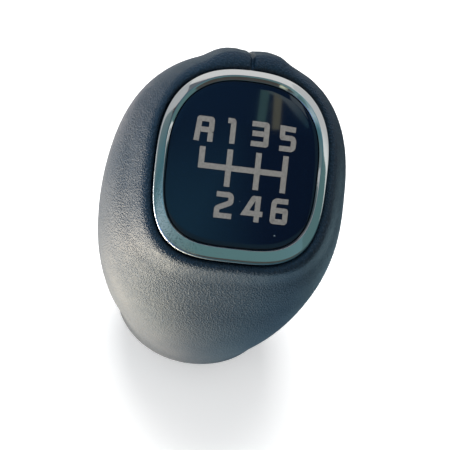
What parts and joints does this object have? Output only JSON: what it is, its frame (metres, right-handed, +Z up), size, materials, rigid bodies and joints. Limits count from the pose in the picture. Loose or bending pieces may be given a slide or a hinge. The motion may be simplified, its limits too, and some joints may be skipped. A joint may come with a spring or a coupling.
{
  "type": "gear shift knob",
  "caption": "Leather-covered gear shift knob: pear-shaped grip with a chrome-rimmed, domed black plate facing the driver and a threaded insert in its base.",
  "frame": {"origin": "centre of the base ring's bottom face, on the lever's axis", "axes": "+Z up along the lever's axis, -Y towards the driver, +X to the driver's right"},
  "size_m": [0.0532, 0.0544, 0.083],
  "materials": {
    "leather": "smooth fine-grained leather, soft sheen",
    "foam": "moulded polyurethane foam",
    "core_plastic": "moulded glass-filled nylon",
    "screw_steel": "zinc-plated steel",
    "insert_brass": "turned brass",
    "bush_rubber": "matt rubber",
    "weight_steel": "turned steel",
    "ring_plastic": "fine-textured plastic",
    "carrier_plastic": "moulded plastic",
    "bezel_chrome": "bright chrome plating",
    "tape_foam": "adhesive foam pad",
    "plate_gloss": "high-gloss black"
  },
  "bodies": {
    "root": {"leather_cover": "leather", "foam_layer": "foam", "core_left": "core_plastic", "core_right": "core_plastic", "core_screws": "screw_steel", "lever_insert": "insert_brass", "lever_bush": "bush_rubber", "weight": "weight_steel", "base_ring": "ring_plastic", "base_screws": "screw_steel", "plate_carrier": "carrier_plastic", "carrier_screws": "screw_steel", "bezel": "bezel_chrome", "plate_tape": "tape_foam", "pattern_plate": "plate_gloss"}
  },
  "joints": []
}
